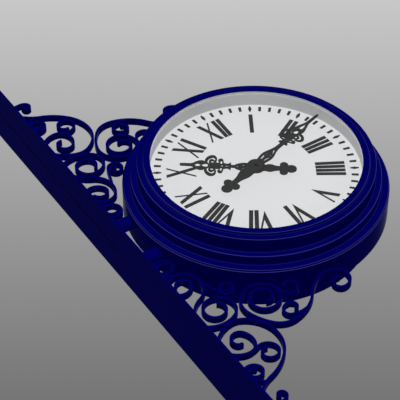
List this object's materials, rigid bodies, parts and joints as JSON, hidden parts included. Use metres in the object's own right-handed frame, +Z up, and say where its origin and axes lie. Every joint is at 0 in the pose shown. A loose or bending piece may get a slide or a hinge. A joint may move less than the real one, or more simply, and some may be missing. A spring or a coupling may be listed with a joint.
{
  "type": "double-sided bracket clock",
  "caption": "Round clock with a dial on each side, in a stepped drum held out from a wall plate by two short arms and mirrored scroll work.",
  "frame": {"origin": "on the wall face of the plate, midway between the four anchor holes, level with the centre of the clock", "axes": "+X out from the wall, +Y from the front dial to the rear dial, +Z up"},
  "size_m": [0.84, 0.259, 1.58],
  "materials": {
    "navy_paint": "gloss",
    "liner_white": "satin",
    "opal_dial": "matt",
    "clear_glass": "polished",
    "dark_grey": "matt",
    "seal_rubber": "matt",
    "bare_aluminium": "mill",
    "motor_steel": "satin",
    "gear_brass": "machined",
    "led_white": "matt",
    "box_grey": "moulded"
  },
  "bodies": {
    "clock": {"wall_plate": "navy_paint", "upper_arm_tube": "navy_paint", "lower_arm_tube": "navy_paint", "upper_small_curl": "navy_paint", "lower_small_curl": "navy_paint", "upper_loop_scroll": "navy_paint", "lower_loop_scroll": "navy_paint", "upper_inner_curl": "navy_paint", "lower_inner_curl": "navy_paint", "upper_c_scroll": "navy_paint", "lower_c_scroll": "navy_paint", "upper_long_scroll": "navy_paint", "lower_long_scroll": "navy_paint", "upper_great_scroll": "navy_paint", "lower_great_scroll": "navy_paint", "upper_eye_scroll": "navy_paint", "lower_eye_scroll": "navy_paint", "upper_foot_curl": "navy_paint", "lower_foot_curl": "navy_paint", "upper_end_curl": "navy_paint", "lower_end_curl": "navy_paint", "drum_shell": "navy_paint", "centre_beam": "bare_aluminium", "led_ring": "led_white", "terminal_box": "box_grey", "bezel_screws": "navy_paint", "front_bezel": "navy_paint", "rear_bezel": "navy_paint", "front_liner": "liner_white", "rear_liner": "liner_white", "front_glass": "clear_glass", "rear_glass": "clear_glass", "front_glass_seal": "seal_rubber", "rear_glass_seal": "seal_rubber", "front_dial": "opal_dial", "rear_dial": "opal_dial", "front_carrier": "bare_aluminium", "rear_carrier": "bare_aluminium", "front_numerals": "dark_grey", "rear_numerals": "dark_grey", "front_minute_marks": "dark_grey", "rear_minute_marks": "dark_grey", "front_movement_case": "bare_aluminium", "rear_movement_case": "bare_aluminium", "front_motor": "motor_steel", "rear_motor": "motor_steel"},
    "front_minute": {"front_minute_arbor": "motor_steel", "front_minute_hand": "dark_grey", "front_hand_nut": "dark_grey"},
    "front_intermediate": {"front_intermediate_wheel": "gear_brass"},
    "front_hour": {"front_hour_wheel": "gear_brass", "front_hour_hand": "dark_grey"},
    "rear_minute": {"rear_minute_arbor": "motor_steel", "rear_minute_hand": "dark_grey", "rear_hand_nut": "dark_grey"},
    "rear_intermediate": {"rear_intermediate_wheel": "gear_brass"},
    "rear_hour": {"rear_hour_wheel": "gear_brass", "rear_hour_hand": "dark_grey"}
  },
  "joints": [
    {"name": "front_minute_turn", "type": "hinge", "parent": "clock", "child": "front_minute", "pos_m": [0.459, 0, 0], "axis": [0, 1, 0], "continuous": true},
    {"name": "front_intermediate_turn", "type": "hinge", "parent": "clock", "child": "front_intermediate", "pos_m": [0.459, 0, 0.03], "axis": [0, 1, 0], "continuous": true},
    {"name": "front_hour_turn", "type": "hinge", "parent": "clock", "child": "front_hour", "pos_m": [0.459, 0, 0], "axis": [0, 1, 0], "continuous": true},
    {"name": "rear_minute_turn", "type": "hinge", "parent": "clock", "child": "rear_minute", "pos_m": [0.459, 0, 0], "axis": [0, -1, 0], "continuous": true},
    {"name": "rear_intermediate_turn", "type": "hinge", "parent": "clock", "child": "rear_intermediate", "pos_m": [0.459, 0, 0.03], "axis": [0, -1, 0], "continuous": true},
    {"name": "rear_hour_turn", "type": "hinge", "parent": "clock", "child": "rear_hour", "pos_m": [0.459, 0, 0], "axis": [0, -1, 0], "continuous": true}
  ],
  "couplings": [
    {"joint": "front_intermediate_turn", "follows": "front_minute_turn", "ratio": -0.33333},
    {"joint": "front_hour_turn", "follows": "front_minute_turn", "ratio": 0.083333},
    {"joint": "rear_intermediate_turn", "follows": "rear_minute_turn", "ratio": -0.33333},
    {"joint": "rear_hour_turn", "follows": "rear_minute_turn", "ratio": 0.083333}
  ]
}
